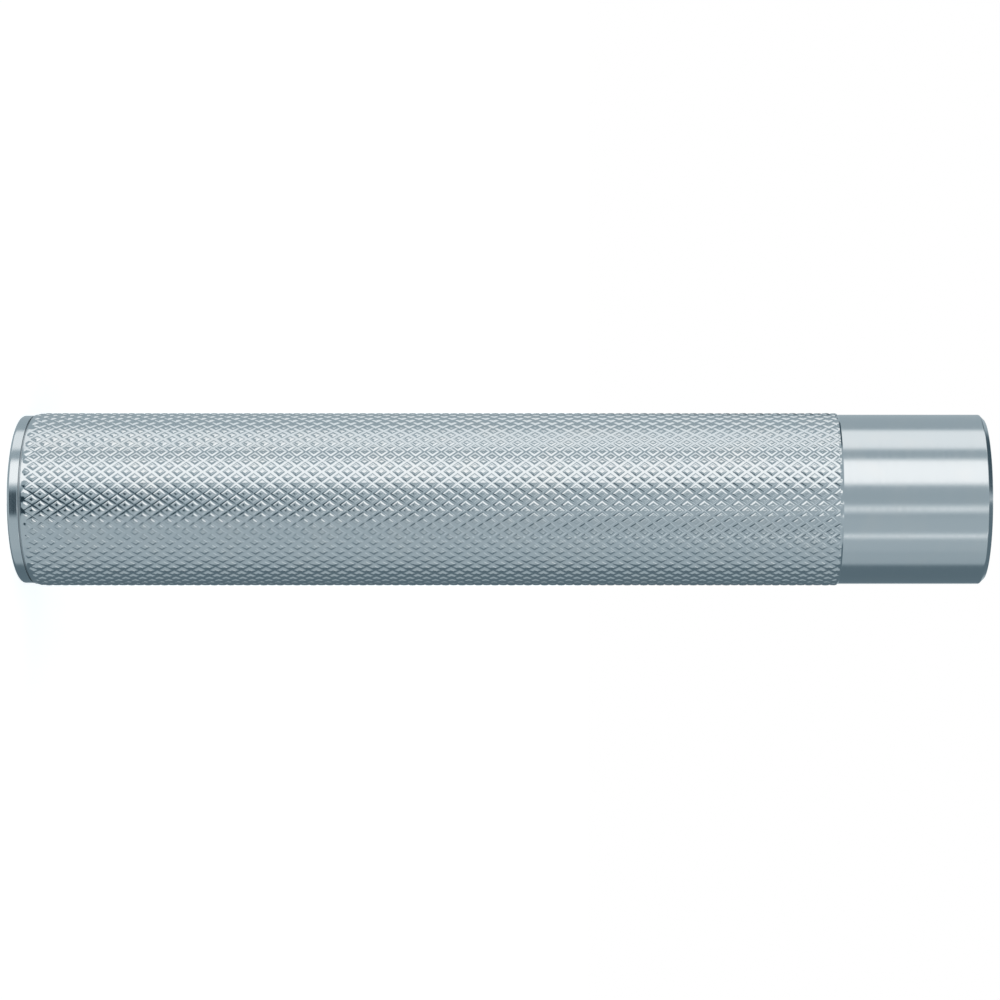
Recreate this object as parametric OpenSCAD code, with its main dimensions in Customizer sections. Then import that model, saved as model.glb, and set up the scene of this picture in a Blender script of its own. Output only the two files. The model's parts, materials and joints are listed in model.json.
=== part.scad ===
// Internally threaded anchor sleeve: one steel turning, knurled outside and
// tapped from one end. It stands on its closed end, with its mouth up.

/* [Sleeve] */
// Overall length, from the closed end to the mouth
sleeve_l = 85; // [60:1:100]
// Diameter of the bar that the sleeve is turned from, as left on the collar
bar_d = 15; // [13:0.5:20]
// Length of the smooth collar at the mouth
collar_l = 12.8; // [6:0.2:24]
// Chamfer round the outside of the mouth
mouth_chamfer = 0.4; // [0.2:0.05:0.8]
// Width of the plain ring at the closed end
ring_l = 1.0; // [0.8:0.1:3]
// How far the plain ring is turned below the bar
ring_relief = 0.1; // [0.05:0.05:0.3]
// Width of the fine groove behind the plain ring
ring_groove_w = 0.15; // [0.1:0.05:0.6]
// Depth of that groove, from the ring
ring_groove_d = 0.15; // [0.05:0.05:0.4]
// Width of the bar left plain between the groove and the knurl
strip_l = 0.2; // [0.1:0.1:2]
// Radius round the edge of the closed end
foot_round = 0.4; // [0.2:0.05:0.6]

/* [Knurl] */
// Grooves that run round each way
knurl_starts = 36; // [24:1:38]
// Angle of the grooves to the sleeve's axis
knurl_angle = 33; // [26:1:36]
// How far rolling lifts the diamonds above the bar
knurl_rise = 0.15; // [0.05:0.05:0.3]
// Depth of the grooves, from the diamonds' points
knurl_depth = 0.2; // [0.1:0.05:0.6]

/* [Thread] */
// Nominal diameter of the internal thread
thread_d = 12; // [8:0.5:12]
// Pitch of the thread
thread_pitch = 1.75; // [1:0.25:2]
// Length of full thread, from the mouth
thread_l = 60; // [20:1:64]
// Depth drilled past the last full turn
drill_runout = 6; // [3:0.5:9]
// Included angle of the drill's point
drill_angle = 118; // [90:1:140]
// Included angle of the countersink at the mouth
sink_angle = 90; // [60:5:120]
// How much wider than the thread the countersink is
sink_over = 0.4; // [0.1:0.1:1]

/* [Hidden] */
$fn = 96;
bar_r = bar_d / 2;
ring_r = bar_r - ring_relief;
ring_groove_r = ring_r - ring_groove_d;
strip_from = ring_l + ring_groove_w;
crest_r = bar_r + knurl_rise;
root_r = crest_r - knurl_depth;
core_r = root_r - 0.1;
knurl_from = strip_from + strip_l;
knurl_to = sleeve_l - collar_l;

// A diamond spans one pitch round the bar and one along it. The pitch along
// is trimmed so that whole half diamonds fill the knurled length.
columns = 2 * knurl_starts;
row_pitch = PI * bar_d / knurl_starts / tan(knurl_angle) / 2;
rows = round((knurl_to - knurl_from) / row_pitch);

// Basic minor diameter of an ISO metric internal thread
minor_r = (thread_d - thread_pitch * 5 * sqrt(3) / 8) / 2;
drill_l = thread_l + drill_runout;
point_l = minor_r / tan(drill_angle / 2);
sink_r = (thread_d + sink_over) / 2;
sink_l = (sink_r - minor_r) / tan(sink_angle / 2);

// Points of an arc of radius r about c, from angle a to angle b
function arc(c, r, a, b, steps = 6) =
    [for (i = [0:steps]) let (t = a + (b - a) * i / steps) c + r * [cos(t), sin(t)]];

// One level of the knurl: points and groove crossings take turns round it,
// and change places from one level to the next.
function knurl_level(k) = [
    for (j = [0:columns - 1])
        let (
            r = (j + k) % 2 == 0 ? crest_r : root_r,
            t = 360 * j / columns
        )
        [r * cos(t), r * sin(t), knurl_from + (knurl_to - knurl_from) * k / rows]
];

// The two triangles between neighbours j and j + 1 of levels k and k + 1. They
// meet along the groove, which joins the two low corners.
function knurl_pair(k, j) =
    let (
        a = k * columns + j,
        b = k * columns + (j + 1) % columns,
        c = b + columns,
        d = a + columns
    )
    (j + k) % 2 == 0 ? [[a, d, b], [b, d, c]] : [[a, d, c], [a, c, b]];

// The knurled length as a closed solid
module knurl() {
    top = rows * columns;
    low_centre = (rows + 1) * columns;
    points = concat(
        [for (k = [0:rows]) each knurl_level(k)],
        [[0, 0, knurl_from], [0, 0, knurl_to]]
    );
    faces = concat(
        [for (k = [0:rows - 1], j = [0:columns - 1]) each knurl_pair(k, j)],
        [for (j = [0:columns - 1]) [low_centre, j, (j + 1) % columns]],
        [for (j = [0:columns - 1]) [low_centre + 1, top + (j + 1) % columns, top + j]]
    );
    polyhedron(points, faces);
}

// The turned blank, necked to a core where the knurl goes round it
module blank() {
    rotate_extrude()
        polygon(concat(
            [[0, 0]],
            arc([ring_r - foot_round, foot_round], foot_round, -90, 0),
            [
                [ring_r, ring_l],
                [ring_groove_r, ring_l],
                [ring_groove_r, strip_from],
                [bar_r, strip_from],
                [bar_r, knurl_from],
                [core_r, knurl_from],
                [core_r, knurl_to],
                [bar_r, knurl_to],
                [bar_r, sleeve_l - mouth_chamfer],
                [bar_r - mouth_chamfer, sleeve_l],
                [0, sleeve_l]
            ]
        ));
}

// The blind hole: countersink, thread core and drill point
module tapped_hole() {
    past = 1;
    translate([0, 0, sleeve_l - drill_l]) {
        translate([0, 0, -point_l]) cylinder(r1 = 0, r2 = minor_r, h = point_l);
        cylinder(r = minor_r, h = drill_l + past);
    }
    translate([0, 0, sleeve_l - sink_l])
        cylinder(r1 = minor_r, r2 = sink_r, h = sink_l);
}

module sleeve() {
    color("lightsteelblue")
        difference() {
            union() {
                blank();
                knurl();
            }
            tapped_hole();
        }
}

sleeve();
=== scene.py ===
import json
import math

import bmesh
import bpy
from mathutils import Matrix, Vector


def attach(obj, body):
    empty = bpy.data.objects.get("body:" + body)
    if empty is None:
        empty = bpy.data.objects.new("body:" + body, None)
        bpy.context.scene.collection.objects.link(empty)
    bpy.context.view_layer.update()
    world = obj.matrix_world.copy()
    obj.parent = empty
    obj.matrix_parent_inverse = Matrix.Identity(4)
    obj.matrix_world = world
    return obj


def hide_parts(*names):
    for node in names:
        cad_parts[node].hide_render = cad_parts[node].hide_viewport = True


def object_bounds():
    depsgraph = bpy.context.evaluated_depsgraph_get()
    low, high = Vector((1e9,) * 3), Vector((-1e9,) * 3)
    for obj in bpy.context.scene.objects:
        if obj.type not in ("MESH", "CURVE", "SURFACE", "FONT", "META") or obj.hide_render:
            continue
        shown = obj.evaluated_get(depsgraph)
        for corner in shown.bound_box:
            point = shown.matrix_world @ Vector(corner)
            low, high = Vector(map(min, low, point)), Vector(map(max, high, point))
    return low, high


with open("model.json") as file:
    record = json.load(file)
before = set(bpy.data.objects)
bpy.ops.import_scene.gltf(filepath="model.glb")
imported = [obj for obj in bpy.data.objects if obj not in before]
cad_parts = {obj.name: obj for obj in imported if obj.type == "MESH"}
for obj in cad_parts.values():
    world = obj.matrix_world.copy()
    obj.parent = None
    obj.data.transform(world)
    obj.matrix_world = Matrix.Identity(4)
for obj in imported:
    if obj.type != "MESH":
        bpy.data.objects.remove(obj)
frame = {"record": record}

MM = 0.001
cad_low, cad_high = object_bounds()
mount = {m["name"]: m for m in frame["record"]["mounts"]}

# The knurl is rolled into the bar by a pair of wheels, one for each hand of
# groove. The grooves have rounded floors, and the metal that they squeeze up
# between them stands as small, blunt pyramids.
sleeve_l = cad_high.z - cad_low.z
crest_r = (cad_high.x - cad_low.x) / 2
bar_r = mount["collar"]["dims"]["r_mm"] * MM
knurl_starts = 49
diamond_l = 1.4645 * MM
# How far the net of diamonds is turned round the bar, and where it starts on it
knurl_turned = math.radians(1.9)
first_row = 1.506 * MM
# The side of a groove: distance from its middle, and height above its floor
groove_side = ((0.07 * MM, 0.006 * MM), (0.19 * MM, 0.052 * MM), (0.28 * MM, 0.118 * MM))
groove_depth = 0.136 * MM

weld_gap = 0.002 * MM
diamond_w = math.tau * bar_r / knurl_starts
groove_apart = diamond_w * diamond_l / math.hypot(diamond_w, diamond_l)


def link_input(tree, value, socket):
    """Joins a socket to another, or sets it to a plain value."""
    if isinstance(value, bpy.types.NodeSocket):
        tree.links.new(value, socket)
    elif value is not None:
        socket.default_value = value


def sums(tree):
    """A function that adds one Math node to the tree and gives its output."""

    def add(operation, a, b=None, c=None, clamp=False):
        node = tree.nodes.new("ShaderNodeMath")
        node.operation = operation
        node.use_clamp = clamp
        for value, socket in zip((a, b, c), node.inputs):
            link_input(tree, value, socket)
        return node.outputs[0]

    return add


def geometry_tree(name, sizes):
    """A Geometry Nodes tree with one named input for each size, and its ends."""
    tree = bpy.data.node_groups.new(name, "GeometryNodeTree")
    tree.interface.new_socket("Geometry", in_out="OUTPUT", socket_type="NodeSocketGeometry")
    tree.interface.new_socket("Geometry", in_out="INPUT", socket_type="NodeSocketGeometry")
    for size, value in sizes.items():
        kind = "NodeSocketInt" if isinstance(value, int) else "NodeSocketFloat"
        tree.interface.new_socket(size, in_out="INPUT", socket_type=kind)
    tree.interface.new_socket("Material", in_out="INPUT", socket_type="NodeSocketMaterial")
    start = tree.nodes.new("NodeGroupInput")
    end = tree.nodes.new("NodeGroupOutput")
    return tree, start.outputs, end.inputs


def finish_tree(tree, geometry, start, end):
    """Ends a tree in Merge by Distance, Realize Instances and Set Material."""
    weld = tree.nodes.new("GeometryNodeMergeByDistance")
    weld.inputs["Distance"].default_value = weld_gap
    tree.links.new(geometry, weld.inputs["Geometry"])
    realize = tree.nodes.new("GeometryNodeRealizeInstances")
    tree.links.new(weld.outputs[0], realize.inputs["Geometry"])
    paint = tree.nodes.new("GeometryNodeSetMaterial")
    tree.links.new(realize.outputs[0], paint.inputs["Geometry"])
    tree.links.new(start["Material"], paint.inputs["Material"])
    tree.links.new(paint.outputs[0], end["Geometry"])


def run_tree(tree, mesh, sizes, material):
    """Runs a tree on a mesh and gives the result as a plain mesh."""
    carrier = bpy.data.objects.new("carrier", mesh)
    bpy.context.scene.collection.objects.link(carrier)
    modifier = carrier.modifiers.new(tree.name, "NODES")
    modifier.node_group = tree
    values = {**sizes, "Material": material}
    for socket in tree.interface.items_tree:
        if socket.in_out == "INPUT" and socket.name in values:
            modifier[socket.identifier] = values[socket.name]
    seen = carrier.evaluated_get(bpy.context.evaluated_depsgraph_get())
    result = bpy.data.meshes.new_from_object(seen)
    carrier.modifiers.remove(modifier)
    bpy.data.objects.remove(carrier)
    return result


def diamond_mesh():
    """One pyramid on its cell of the net, from the floors of the grooves up."""
    bm = bmesh.new()
    levels = [(0, 0), *groove_side]
    rings = []
    for from_groove, height in levels:
        size = 0.5 - from_groove / groove_apart
        corners = ((size, 0), (0, size), (-size, 0), (0, -size))
        rings.append([bm.verts.new((x, y, height / groove_depth)) for x, y in corners])
    point = bm.verts.new((0, 0, 1))
    for i in range(4):
        j = (i + 1) % 4
        for lower, upper in zip(rings, rings[1:]):
            bm.faces.new((lower[i], lower[j], upper[j], upper[i]))
        bm.faces.new((rings[-1][i], rings[-1][j], point))
    mesh = bpy.data.meshes.new("diamond")
    bm.to_mesh(mesh)
    bm.free()
    return mesh


plating = bpy.data.materials.new("zinc_plating")

knurl_sizes = {
    "Starts": knurl_starts,
    "Half Rows": math.ceil(2 * sleeve_l / diamond_l),
    "First Row": first_row - diamond_l,
    "Diamond Length": diamond_l,
    "Turned": knurl_turned,
    "Floor Radius": crest_r - groove_depth,
    "Depth": groove_depth,
}
tree, start, end = geometry_tree("rolled_knurl", knurl_sizes)
m = sums(tree)
points = tree.nodes.new("GeometryNodePoints")
tree.links.new(m("MULTIPLY", start["Starts"], start["Half Rows"]), points.inputs["Count"])
index = tree.nodes.new("GeometryNodeInputIndex").outputs[0]
row = m("FLOOR", m("DIVIDE", m("ADD", index, 0.5), start["Starts"]))
column = m("SUBTRACT", index, m("MULTIPLY", row, start["Starts"]))
place = tree.nodes.new("ShaderNodeCombineXYZ")
tree.links.new(m("ADD", column, m("MULTIPLY", m("MODULO", row, 2), 0.5)), place.inputs["X"])
tree.links.new(m("MULTIPLY", row, 0.5), place.inputs["Y"])
tree.links.new(place.outputs[0], points.inputs["Position"])
copies = tree.nodes.new("GeometryNodeInstanceOnPoints")
tree.links.new(points.outputs[0], copies.inputs["Points"])
tree.links.new(start["Geometry"], copies.inputs["Instance"])
flat = tree.nodes.new("GeometryNodeRealizeInstances")
tree.links.new(copies.outputs[0], flat.inputs[0])

# The flat net of diamonds is bent round the bar.
where = tree.nodes.new("ShaderNodeSeparateXYZ")
tree.links.new(tree.nodes.new("GeometryNodeInputPosition").outputs[0], where.inputs[0])
radius = m("MULTIPLY_ADD", where.outputs["Z"], start["Depth"], start["Floor Radius"])
share = m("DIVIDE", where.outputs["X"], start["Starts"])
turn = m("MULTIPLY_ADD", share, math.tau, start["Turned"])
bent = tree.nodes.new("ShaderNodeCombineXYZ")
tree.links.new(m("MULTIPLY", radius, m("COSINE", turn)), bent.inputs["X"])
tree.links.new(m("MULTIPLY", radius, m("SINE", turn)), bent.inputs["Y"])
height = m("MULTIPLY_ADD", where.outputs["Y"], start["Diamond Length"], start["First Row"])
tree.links.new(height, bent.inputs["Z"])
wrap = tree.nodes.new("GeometryNodeSetPosition")
tree.links.new(flat.outputs[0], wrap.inputs["Geometry"])
tree.links.new(bent.outputs[0], wrap.inputs["Position"])
finish_tree(tree, wrap.outputs[0], start, end)
knurl_mesh = run_tree(tree, diamond_mesh(), knurl_sizes, plating)

# The hole is drilled from the mouth, countersunk and tapped with a right-hand
# metric thread. Its turns fade out where the tap's taper ends, and the drill's
# own wall and point are left below them.
thread_r = 6.0 * MM
thread_pitch = 1.75 * MM
thread_l = 60 * MM
tap_taper = 2.5 * MM
thread_sides = 100
minor_r = mount["thread"]["dims"]["r_mm"] * MM
wall_l = mount["thread"]["dims"]["length_mm"] * MM
sink_r = 6.2 * MM
sink_l = sink_r - minor_r
drill_angle = math.radians(118)
drill_end = sleeve_l - sink_l - wall_l
drill_point = minor_r / math.tan(drill_angle / 2)
thread_sizes = {
    "Segments": thread_sides,
    "Turns": math.ceil(thread_l / thread_pitch) + 2,
    "Pitch": thread_pitch,
    "From": sleeve_l - thread_l,
    "To": sleeve_l,
    "Minor Radius": minor_r,
    "Depth": thread_r - minor_r,
    "Taper": tap_taper,
    "Mouth Radius": sink_r,
}
rows_per_turn = 6
# Each flat and flank of one turn: its first row, its rows, its share of the
# pitch, and how far it takes the wall out towards the major diameter.
thread_form = ((0, 1, 1 / 4, 0), (1, 2, 5 / 16, 1), (3, 1, 1 / 8, 0), (4, 2, 5 / 16, -1))

tree, start, end = geometry_tree("tapped_thread", thread_sizes)
m = sums(tree)
grid = tree.nodes.new("GeometryNodeMeshGrid")
row_count = m("MULTIPLY", start["Turns"], rows_per_turn)
tree.links.new(m("ADD", start["Segments"], 1), grid.inputs["Vertices X"])
tree.links.new(m("ADD", row_count, 1), grid.inputs["Vertices Y"])
where = tree.nodes.new("ShaderNodeSeparateXYZ")
tree.links.new(tree.nodes.new("GeometryNodeInputPosition").outputs[0], where.inputs[0])
around = m("ADD", where.outputs["X"], 0.5)
row = m("ROUND", m("MULTIPLY", m("ADD", where.outputs["Y"], 0.5), row_count))
whole_turns = m("FLOOR", m("DIVIDE", m("ADD", row, 0.5), rows_per_turn))
row_in_turn = m("SUBTRACT", row, m("MULTIPLY", whole_turns, rows_per_turn))
along = m("ADD", m("SUBTRACT", whole_turns, 1), around)
out = 0
for first, rows, share, outwards in thread_form:
    done = m("DIVIDE", m("SUBTRACT", row_in_turn, first), rows, clamp=True)
    along = m("MULTIPLY_ADD", done, share, along)
    out = m("MULTIPLY_ADD", done, outwards, out)
height = m("MULTIPLY_ADD", along, start["Pitch"], start["From"])
height = m("MINIMUM", m("MAXIMUM", height, start["From"]), start["To"])
fade = m("DIVIDE", m("SUBTRACT", height, start["From"]), start["Taper"], clamp=True)
cut_r = m("MULTIPLY_ADD", m("MULTIPLY", out, start["Depth"]), fade, start["Minor Radius"])
cone_r = m("SUBTRACT", start["Mouth Radius"], m("SUBTRACT", start["To"], height))
radius = m("MAXIMUM", cut_r, cone_r)
turn = m("MULTIPLY", around, math.tau)
wound = tree.nodes.new("ShaderNodeCombineXYZ")
tree.links.new(m("MULTIPLY", radius, m("COSINE", turn)), wound.inputs["X"])
tree.links.new(m("MULTIPLY", radius, m("SINE", turn)), wound.inputs["Y"])
tree.links.new(height, wound.inputs["Z"])
wind = tree.nodes.new("GeometryNodeSetPosition")
tree.links.new(grid.outputs["Mesh"], wind.inputs["Geometry"])
tree.links.new(wound.outputs[0], wind.inputs["Position"])
finish_tree(tree, wind.outputs[0], start, end)
thread_mesh = run_tree(tree, bpy.data.meshes.new("blank"), thread_sizes, plating)

# The ends are turned: a plain ring, a fine groove and a strip of bar before
# the knurl, and a collar with a chamfer round the mouth. All of it is one piece
# of steel, so the knurl, the ends and the hole are joined into one skin.
knurl_from = 1.30 * MM
knurl_lead_in = 0.45 * MM
knurl_run_out = 0.30 * MM
ridge_w = 0.14 * MM
ridge_r = 7.60 * MM
collar_l = 12.87 * MM
knurl_to = sleeve_l - collar_l
ring_r = 7.42 * MM
ring_l = 0.98 * MM
ring_groove_w = 0.14 * MM
ring_groove_r = 7.28 * MM
foot_round = 0.25 * MM
mouth_chamfer = 0.4 * MM
edge_ease = 0.05 * MM
turned_sides = 300


def arc(centre, radius, first, last, steps):
    """Points of an arc in the profile, as distance from the axis and height."""
    angles = (math.radians(first + (last - first) * i / steps) for i in range(steps + 1))
    return [(centre[0] + radius * math.cos(a), centre[1] + radius * math.sin(a)) for a in angles]


def turned(bm, profile, sides):
    """Turns a profile round the axis."""
    angles = [math.tau * i / sides for i in range(sides)]
    rings = []
    for r, z in profile:
        if r == 0:
            rings.append([bm.verts.new((0, 0, z))] * sides)
        else:
            rings.append([bm.verts.new((r * math.cos(a), r * math.sin(a), z)) for a in angles])
    for lower, upper in zip(rings, rings[1:]):
        for i in range(sides):
            j = (i + 1) % sides
            corners = [lower[i], lower[j], upper[j], upper[i]]
            bm.faces.new(list(dict.fromkeys(corners)))


def held(profile):
    """Adds points close to both ends of the long flats, which keeps them flat."""
    points = [profile[0]]
    for (r, z), (next_r, next_z) in zip(profile, profile[1:]):
        length = math.hypot(next_r - r, next_z - z)
        if length > 4 * edge_ease:
            for share in (edge_ease / length, 1 - edge_ease / length):
                points.append((r + (next_r - r) * share, z + (next_z - z) * share))
        points.append((next_r, next_z))
    return points


def rims(bm, height):
    """The open rims that lie level at a height, as one set of vertices."""
    edges = [e for e in bm.edges if len(e.link_faces) == 1]
    level = [e for e in edges if all(abs(v.co.z - height) < weld_gap / 2 for v in e.verts)]
    return {v for e in level for v in e.verts}


def join_rims(bm, one, other):
    """Closes the gap between two rims, step by step round the axis."""

    def bearing(vert):
        return math.atan2(vert.co.y, vert.co.x) % math.tau

    one, other = (sorted(rim, key=bearing) for rim in (one, other))
    one_at = [bearing(v) for v in one] + [bearing(one[0]) + math.tau]
    other_at = [bearing(v) for v in other] + [bearing(other[0]) + math.tau]
    i = j = 0
    while i < len(one) or j < len(other):
        near, far = one[i % len(one)], other[j % len(other)]
        if j == len(other) or (i < len(one) and one_at[i + 1] < other_at[j + 1]):
            i += 1
            bm.faces.new((near, one[i % len(one)], far))
        else:
            j += 1
            bm.faces.new((near, other[j % len(other)], far))


def cut(bm, height, clear_above=False, clear_below=False):
    """Cuts the knurl level at a height, and takes away what lies past it."""
    bmesh.ops.bisect_plane(
        bm,
        geom=[*bm.verts, *bm.edges, *bm.faces],
        dist=weld_gap / 4,
        plane_co=(0, 0, height),
        plane_no=(0, 0, 1),
        clear_outer=clear_above,
        clear_inner=clear_below,
    )


bm = bmesh.new()
bm.from_mesh(knurl_mesh)
bmesh.ops.recalc_face_normals(bm, faces=bm.faces)
cut(bm, knurl_from, clear_below=True)
cut(bm, knurl_from + knurl_lead_in)
cut(bm, knurl_to - knurl_run_out)
cut(bm, knurl_to - ridge_w)
cut(bm, knurl_to, clear_above=True)
# At the foot the knurl rises from the bar. At the collar the wheels leave a
# plain ridge, which is turned down to the collar at a slant.
for vert in bm.verts:
    rolled_r = math.hypot(vert.co.x, vert.co.y)
    risen = (vert.co.z - knurl_from) / knurl_lead_in
    left = (knurl_to - ridge_w - vert.co.z) / (knurl_run_out - ridge_w)
    slant = (knurl_to - vert.co.z) / ridge_w
    r = ridge_r + (rolled_r - ridge_r) * max(0, min(1, left))
    r = bar_r + (r - bar_r) * max(0, min(1, risen, slant))
    vert.co.x *= r / rolled_r
    vert.co.y *= r / rolled_r

strip_from = ring_l + ring_groove_w
foot_profile = [
    (0, 0),
    *arc((ring_r - foot_round, foot_round), foot_round, -90, 0, 6),
    *arc((ring_r - edge_ease, ring_l - edge_ease), edge_ease, 0, 90, 3),
    (ring_groove_r, ring_l),
    (ring_groove_r, strip_from),
    (bar_r - edge_ease, strip_from),
    (bar_r, strip_from + edge_ease),
    (bar_r, knurl_from - edge_ease),
]
mouth_profile = [
    (bar_r, knurl_to + edge_ease),
    (bar_r, sleeve_l - mouth_chamfer - edge_ease),
    (bar_r - edge_ease / 3, sleeve_l - mouth_chamfer),
    (bar_r - mouth_chamfer + edge_ease / 3, sleeve_l - edge_ease / 2),
    (bar_r - mouth_chamfer - edge_ease / 2, sleeve_l),
]
drill_profile = [
    (0, drill_end - drill_point),
    (minor_r, drill_end),
    (minor_r, sleeve_l - thread_l),
]
turned(bm, held(foot_profile), turned_sides)
turned(bm, held(mouth_profile), turned_sides)
join_rims(bm, rims(bm, foot_profile[-1][1]), rims(bm, knurl_from))
join_rims(bm, rims(bm, knurl_to), rims(bm, mouth_profile[0][1]))
mouth_rim = rims(bm, sleeve_l)
bm.from_mesh(thread_mesh)
turned(bm, drill_profile, thread_sides)
join_rims(bm, mouth_rim, rims(bm, sleeve_l) - mouth_rim)
bmesh.ops.remove_doubles(bm, verts=bm.verts, dist=weld_gap)
bmesh.ops.dissolve_degenerate(bm, dist=weld_gap / 4, edges=bm.edges)
bmesh.ops.recalc_face_normals(bm, faces=bm.faces)

# The pyramids keep their edges, and the turned arcs and the thread stay round.
facet_edge = math.radians(17)
turned_edge = math.radians(22)
for face in bm.faces:
    face.smooth = True
for edge in bm.edges:
    middle = (edge.verts[0].co + edge.verts[1].co) / 2
    rolled = knurl_from < middle.z < knurl_to and math.hypot(middle.x, middle.y) > ring_groove_r
    edge.smooth = edge.calc_face_angle(0) < (facet_edge if rolled else turned_edge)
sleeve_mesh = bpy.data.meshes.new("anchor_sleeve")
bm.to_mesh(sleeve_mesh)
bm.free()
sleeve_mesh.materials.clear()
sleeve_mesh.materials.append(plating)
sleeve = bpy.data.objects.new("anchor_sleeve", sleeve_mesh)
bpy.context.scene.collection.objects.link(sleeve)
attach(sleeve, "root")
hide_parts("sleeve")

# Bright zinc plating with a faint blue passivation, over steel that shows its
# tool lines. The rolled knurl is smoother, with its points rubbed bright. The
# hole is darker and rougher, and the fine groove is rougher and darkened with
# painted shade.
tool_line_w = 0.33 * MM
tool_line_h = 0.002 * MM
tool_line_share = 200
face_line_share = 0.7
cloud_w = 3.0 * MM
cloud_contrast = 2.5
speck_w = 0.25 * MM
speck_relief = 0.4
rubbed_paler = 0.5
groove_r = crest_r - groove_depth
dull_r = 6.5 * MM
dull_fade = 0.4 * MM
plating.use_nodes = True
nodes = plating.node_tree.nodes
links = plating.node_tree.links
m = sums(plating.node_tree)
spot = nodes.new("ShaderNodeSeparateXYZ")
links.new(nodes.new("ShaderNodeTexCoord").outputs["Object"], spot.inputs[0])
across = m("MULTIPLY_ADD", spot.outputs["X"], spot.outputs["X"], m("POWER", spot.outputs["Y"], 2))
from_axis = m("SQRT", across)


def mottle(x, y, z, detail, label):
    """Noise over three coordinates, about 1 to a patch, from 0 to 1."""
    spread = nodes.new("ShaderNodeCombineXYZ")
    for value, socket in zip((x, y, z), spread.inputs):
        links.new(value, socket)
    noise = nodes.new("ShaderNodeTexNoise")
    noise.label = label
    noise.inputs["Scale"].default_value = 1.0
    noise.inputs["Detail"].default_value = detail
    links.new(spread.outputs[0], noise.inputs["Vector"])
    return noise.outputs["Fac"]


def patches(width, detail, label):
    """Noise of one patch width in every direction."""
    x, y, z = (m("DIVIDE", spot.outputs[axis], width) for axis in "XYZ")
    return mottle(x, y, z, detail, label)


# Lines go by height on the bar and by radius on the faces.
tool_path = m("SUBTRACT", spot.outputs["Z"], m("MULTIPLY", from_axis, face_line_share))
lines = mottle(
    m("MULTIPLY", spot.outputs["X"], tool_line_share),
    m("MULTIPLY", spot.outputs["Y"], tool_line_share),
    m("DIVIDE", tool_path, tool_line_w),
    3,
    "tool lines",
)
clouds = patches(cloud_w, 3, "passivation")
specks = patches(speck_w, 2, "specks")
rubbed = m("DIVIDE", m("SUBTRACT", from_axis, groove_r), groove_depth, clamp=True)

# Darker and rougher down the hole, and low in the fine groove by the ring, where
# the darkening is painted shade
inside = m("DIVIDE", m("SUBTRACT", dull_r, from_axis), dull_fade, clamp=True)
below_mouth = m("LESS_THAN", spot.outputs["Z"], sleeve_l - dull_fade / 2)
above_foot = m("GREATER_THAN", spot.outputs["Z"], ring_l / 2)
down_hole = m("MULTIPLY", inside, m("MULTIPLY", below_mouth, above_foot))
groove_middle = ring_l + ring_groove_w / 2
groove_fade = ring_groove_w / 4
from_groove = m("ABSOLUTE", m("SUBTRACT", spot.outputs["Z"], groove_middle))
past_groove = m("SUBTRACT", ring_groove_w / 2 + groove_fade, from_groove)
in_groove = m("DIVIDE", past_groove, groove_fade, clamp=True)
below_ring = m("DIVIDE", m("SUBTRACT", ring_r, from_axis), groove_fade, clamp=True)
painted_shade_and_dull = m("MAXIMUM", down_hole, m("MULTIPLY", in_groove, below_ring))

# The places of a Mix node's two colours, and of the colour that it gives
colour_a, colour_b, mixed = 6, 7, 2
blueness = nodes.new("ShaderNodeMix")
blueness.data_type = "RGBA"
blueness.inputs[colour_a].default_value = (0.635, 0.675, 0.695, 1)
blueness.inputs[colour_b].default_value = (0.675, 0.695, 0.700, 1)
paler = m("MULTIPLY", rubbed, rubbed_paler)
tone = m("MULTIPLY_ADD", m("SUBTRACT", clouds, 0.5), cloud_contrast, paler, clamp=True)
links.new(tone, blueness.inputs["Factor"])
# The hole and the fine groove are darkened by multiplying their colour; in the groove this is
# painted shade.
painted_shade_tint = nodes.new("ShaderNodeMix")
painted_shade_tint.data_type = "RGBA"
painted_shade_tint.blend_type = "MULTIPLY"
links.new(painted_shade_and_dull, painted_shade_tint.inputs["Factor"])
links.new(blueness.outputs[mixed], painted_shade_tint.inputs[colour_a])
painted_shade_tint.inputs[colour_b].default_value = (0.74, 0.75, 0.76, 1)

# Where the bar is rolled: between the strip and the collar, on the outside
above_strip = m("GREATER_THAN", spot.outputs["Z"], knurl_from)
below_collar = m("LESS_THAN", spot.outputs["Z"], knurl_to)
rolled = m("MULTIPLY", above_strip, below_collar)
rolled = m("MULTIPLY", rolled, m("GREATER_THAN", from_axis, dull_r))

# The bar's roughness, how much each pattern varies it, and what the knurl, the
# hole and the fine groove add to it
rough = 0.155
for pattern, spread in ((lines, 0.10), (clouds, 0.06), (specks, 0.04)):
    rough = m("MULTIPLY_ADD", m("SUBTRACT", pattern, 0.5), spread, rough)
for mask, added in ((rolled, -0.08), (painted_shade_and_dull, 0.20)):
    rough = m("MULTIPLY_ADD", mask, added, rough)

relief = nodes.new("ShaderNodeBump")
relief.inputs["Distance"].default_value = tool_line_h
links.new(m("MULTIPLY_ADD", specks, speck_relief, lines), relief.inputs["Height"])

shader = nodes["Principled BSDF"]
shader.inputs["Metallic"].default_value = 1.0
links.new(painted_shade_tint.outputs[mixed], shader.inputs["Base Color"])
links.new(rough, shader.inputs["Roughness"])
links.new(relief.outputs[0], shader.inputs["Normal"])

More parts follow.
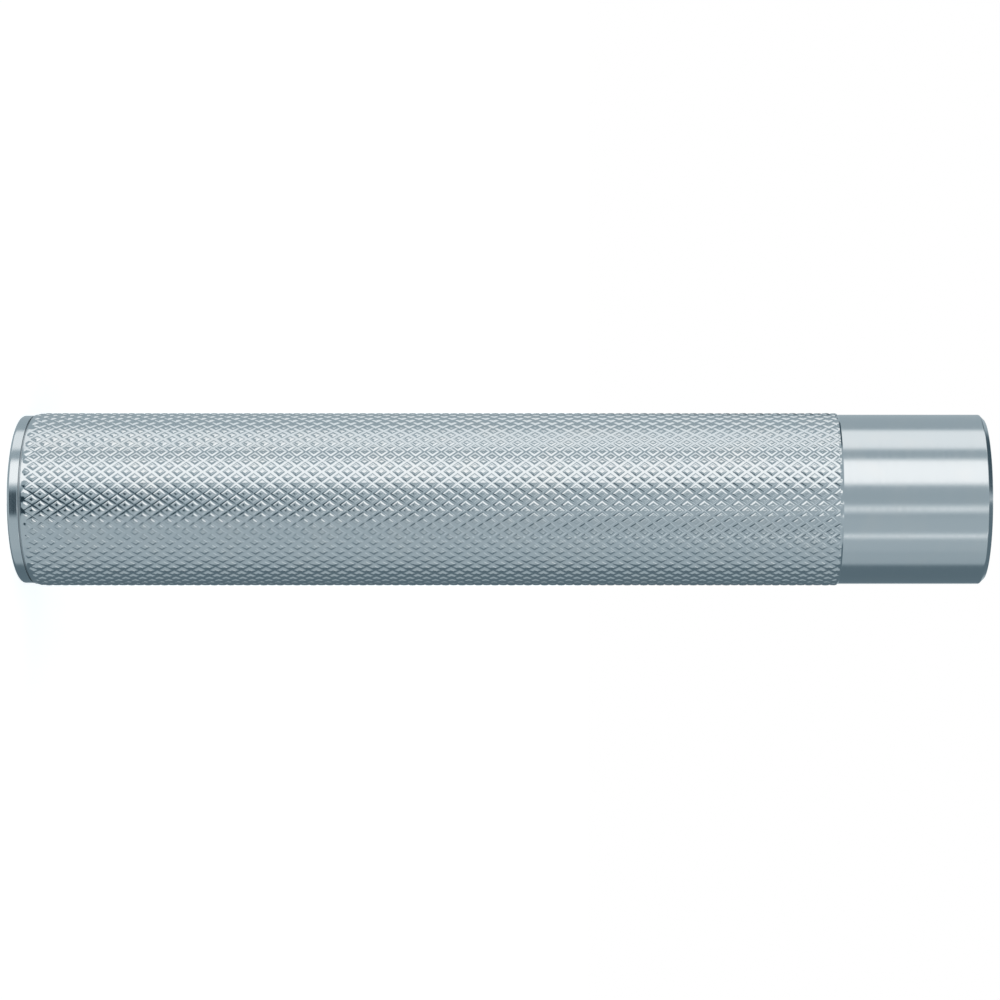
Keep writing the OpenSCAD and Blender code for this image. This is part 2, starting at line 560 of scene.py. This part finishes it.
# The floor is plain white and keeps the sleeve's soft shadow. Polished metal
# sees past it to the studio round it.
floor_half = 6.0
floor_glow = 0.72
floor_mesh = bpy.data.meshes.new("floor")
floor_mesh.from_pydata(
    [(x * floor_half, y * floor_half, 0) for x, y in ((-1, -1), (1, -1), (1, 1), (-1, 1))],
    [],
    [(0, 1, 2, 3)],
)
floor = bpy.data.objects.new("floor", floor_mesh)
bpy.context.scene.collection.objects.link(floor)
floor.visible_glossy = False
white = bpy.data.materials.new("white_floor")
white.use_nodes = True
nodes = white.node_tree.nodes
links = white.node_tree.links
shader = nodes["Principled BSDF"]
shader.inputs["Base Color"].default_value = (0.8, 0.8, 0.8, 1)
shader.inputs["Roughness"].default_value = 0.9
shader.inputs["Specular IOR Level"].default_value = 0.0
seen = nodes.new("ShaderNodeLightPath")
fill = nodes.new("ShaderNodeMath")
fill.operation = "MULTIPLY"
fill.inputs[1].default_value = floor_glow
links.new(seen.outputs["Is Camera Ray"], fill.inputs[0])
shader.inputs["Emission Color"].default_value = (1, 1, 1, 1)
links.new(fill.outputs[0], shader.inputs["Emission Strength"])
floor_mesh.materials.append(white)

# The studio is a plain tent, with softboxes that stand upright round the sleeve
# and shaded panels between them. Each is given by its edges in degrees: the
# bearings of its sides, 0 to the camera and 90 to the picture's top, and the
# heights of its foot and head. The last number is its brightness.
tent_light = 0.5
panels = {
    "shade behind and below": (-165, -100, -90, 90, 0.2),
    "shade behind and above": (112, 150, 15, 90, 0.1),
    "fill below": (-75, -25, -90, 90, 0.55),
    "top softbox": (72, 108, -30, 30, 1.1),
    "key softbox": (20, 55, -30, 30, 1.3),
    "front strip": (-17, -9, 0, 90, 1.0),
    "lower strip": (-53, -49, 0, 90, 1.2),
    "shade round the lens": (-22, 12, -22, -9, 0.05),
}
panel_edge = 6
softbox_light = 1.28
shade_of_red = 1.18
shade_of_blue = 0.915
world = bpy.data.worlds.new("studio")
bpy.context.scene.world = world
world.use_nodes = True
nodes = world.node_tree.nodes
links = world.node_tree.links
m = sums(world.node_tree)
split = nodes.new("ShaderNodeSeparateXYZ")
links.new(nodes.new("ShaderNodeTexCoord").outputs["Generated"], split.inputs[0])
bearing = m("ARCTAN2", m("MULTIPLY", split.outputs["X"], -1), m("MULTIPLY", split.outputs["Y"], -1))
bearing = m("DEGREES", bearing)
rise = m("DEGREES", m("ARCSINE", split.outputs["Z"]))


def patch(from_middle, half):
    """1 inside a panel's two edges and 0 outside them, with a soft step between."""
    inside = m("SUBTRACT", half + panel_edge / 2, m("ABSOLUTE", from_middle))
    return m("DIVIDE", inside, panel_edge, clamp=True)


light = tent_light
for name, (one_side, other_side, foot, head, brightness) in panels.items():
    turned_from = m("SUBTRACT", bearing, (one_side + other_side) / 2)
    across = patch(m("WRAP", turned_from, 180, -180), (other_side - one_side) / 2)
    upright = patch(m("SUBTRACT", rise, (foot + head) / 2), (head - foot) / 2)
    share = m("MULTIPLY", across, upright)
    light = m("MULTIPLY_ADD", share, m("SUBTRACT", brightness, light), light)
    light.node.label = name

# The softboxes are neutral white, and the shade between them is bluish.
strength = m("DIVIDE", light, softbox_light)
shade = nodes.new("ShaderNodeCombineColor")
for channel, power in (("Red", shade_of_red), ("Green", 1), ("Blue", shade_of_blue)):
    shaded = m("MULTIPLY", m("POWER", strength, power), softbox_light)
    links.new(shaded, shade.inputs[channel])
room = nodes["Background"]
links.new(shade.outputs[0], room.inputs["Color"])

# The tent is open behind the sleeve, where the metal shows the white backdrop
# that the camera sees.
opening = 6
backdrop = nodes.new("ShaderNodeBackground")
backdrop.inputs["Color"].default_value = (1, 1, 1, 1)
behind = m("SUBTRACT", m("ABSOLUTE", bearing), 180 - opening)
behind = m("DIVIDE", behind, opening, clamp=True)
seen = nodes.new("ShaderNodeLightPath").outputs
mirrored = m("MAXIMUM", seen["Is Glossy Ray"], seen["Is Transmission Ray"])
mix = nodes.new("ShaderNodeMixShader")
links.new(m("MAXIMUM", seen["Is Camera Ray"], m("MULTIPLY", mirrored, behind)), mix.inputs[0])
links.new(room.outputs[0], mix.inputs[1])
links.new(backdrop.outputs[0], mix.inputs[2])
links.new(mix.outputs[0], nodes["World Output"].inputs["Surface"])

# The camera looks square at the sleeve a little above its middle, as the photo's
# perspective shows. It is turned on its side, so that the standing sleeve lies
# across the picture, and its lens is shifted to bring the sleeve to the middle.
photo_px = 1000
sensor_mm = 36
focal_px = 2740
square_px = (610, 500)
sleeve_middle_px = (503.3, 499.3)
camera_far = 0.2432
px = camera_far / focal_px
aside = (Vector(square_px) - Vector(sleeve_middle_px)) * px
camera = bpy.data.cameras.new("camera")
camera.sensor_width = sensor_mm
camera.lens = focal_px / photo_px * sensor_mm
camera.shift_x = 0.5 - square_px[0] / photo_px
camera.clip_start = 0.01
holder = bpy.data.objects.new("camera", camera)
bpy.context.scene.collection.objects.link(holder)
right = Vector((0, 0, 1))
up = Vector((-1, 0, 0))
back = right.cross(up)
place = Vector((0, 0, sleeve_l / 2)) + back * camera_far + right * aside.x - up * aside.y
holder.matrix_world = Matrix.Translation(place) @ Matrix((right, up, back)).transposed().to_4x4()
bpy.context.scene.camera = holder
bpy.context.scene.view_settings.view_transform = "Standard"
